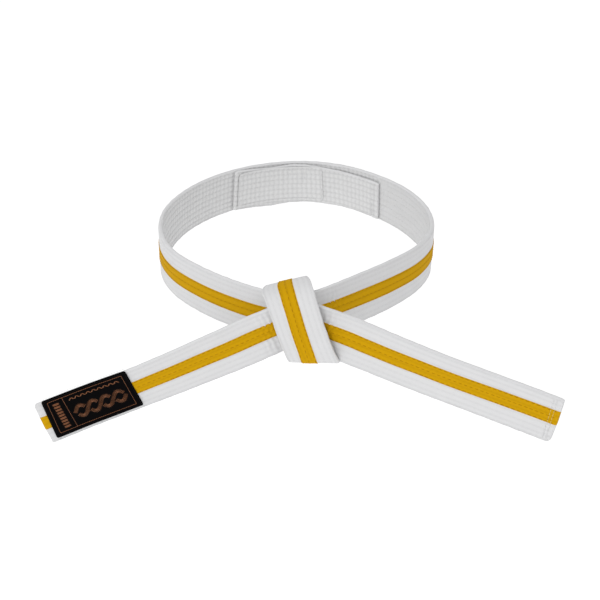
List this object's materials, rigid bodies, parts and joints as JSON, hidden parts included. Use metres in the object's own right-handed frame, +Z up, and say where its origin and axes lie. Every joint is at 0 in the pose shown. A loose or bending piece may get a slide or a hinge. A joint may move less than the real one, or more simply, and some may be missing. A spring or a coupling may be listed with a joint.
{
  "type": "martial arts belt",
  "caption": "Quilted white martial arts belt with a yellow centre stripe, tied in a waist loop with a front knot and two free ends that swing.",
  "frame": {"origin": "centre of the waist that the loop goes round, at half the strap's height", "axes": "+Z up along the wearer's body, -Y towards the front, where the knot is, +X to the right of someone who faces the knot"},
  "size_m": [0.4067, 0.3528, 0.1335],
  "materials": {
    "white_cotton": "matte woven cotton, quilted in lengthwise rows",
    "stiffening_ply": "matte felted cotton",
    "yellow_stripe": "matte ribbed tape",
    "label_weave": "fine matte woven label",
    "copper_thread": "slightly glossy embroidery thread",
    "white_thread": "matte sewing thread"
  },
  "bodies": {
    "tied_loop": {"cover_loop": "white_cotton", "inner_ply_loop": "stiffening_ply", "outer_ply_loop": "stiffening_ply", "stripe_loop": "yellow_stripe", "cover_wrap": "white_cotton", "inner_ply_wrap": "stiffening_ply", "outer_ply_wrap": "stiffening_ply", "stripe_wrap": "yellow_stripe", "cover_right_root": "white_cotton", "inner_ply_right_root": "stiffening_ply", "outer_ply_right_root": "stiffening_ply", "stripe_right_root": "yellow_stripe", "back_layer_cover": "white_cotton", "back_layer_ply": "stiffening_ply", "back_patch": "white_cotton", "back_stitch_1": "white_thread", "back_stitch_2": "white_thread"},
    "left_end": {"cover_left_tail": "white_cotton", "inner_ply_left_tail": "stiffening_ply", "outer_ply_left_tail": "stiffening_ply", "stripe_left_tail": "yellow_stripe", "label": "label_weave", "label_border_thread": "copper_thread"},
    "right_end": {"cover_right_tail": "white_cotton", "inner_ply_right_tail": "stiffening_ply", "outer_ply_right_tail": "stiffening_ply", "stripe_right_tail": "yellow_stripe", "tip_stitch_right_1": "white_thread", "tip_stitch_right_2": "white_thread"}
  },
  "joints": [
    {"name": "left_end_swing", "type": "hinge", "parent": "tied_loop", "child": "left_end", "pos_m": [-0.02498, -0.13677, -0.01112], "axis": [-0.3573, -0.1341, 0.9243], "range_deg": [-20, 45]},
    {"name": "right_end_swing", "type": "hinge", "parent": "tied_loop", "child": "right_end", "pos_m": [0.03845, -0.14984, -0.01141], "axis": [-0.2329, 0.028, -0.9721], "range_deg": [-20, 45]}
  ]
}
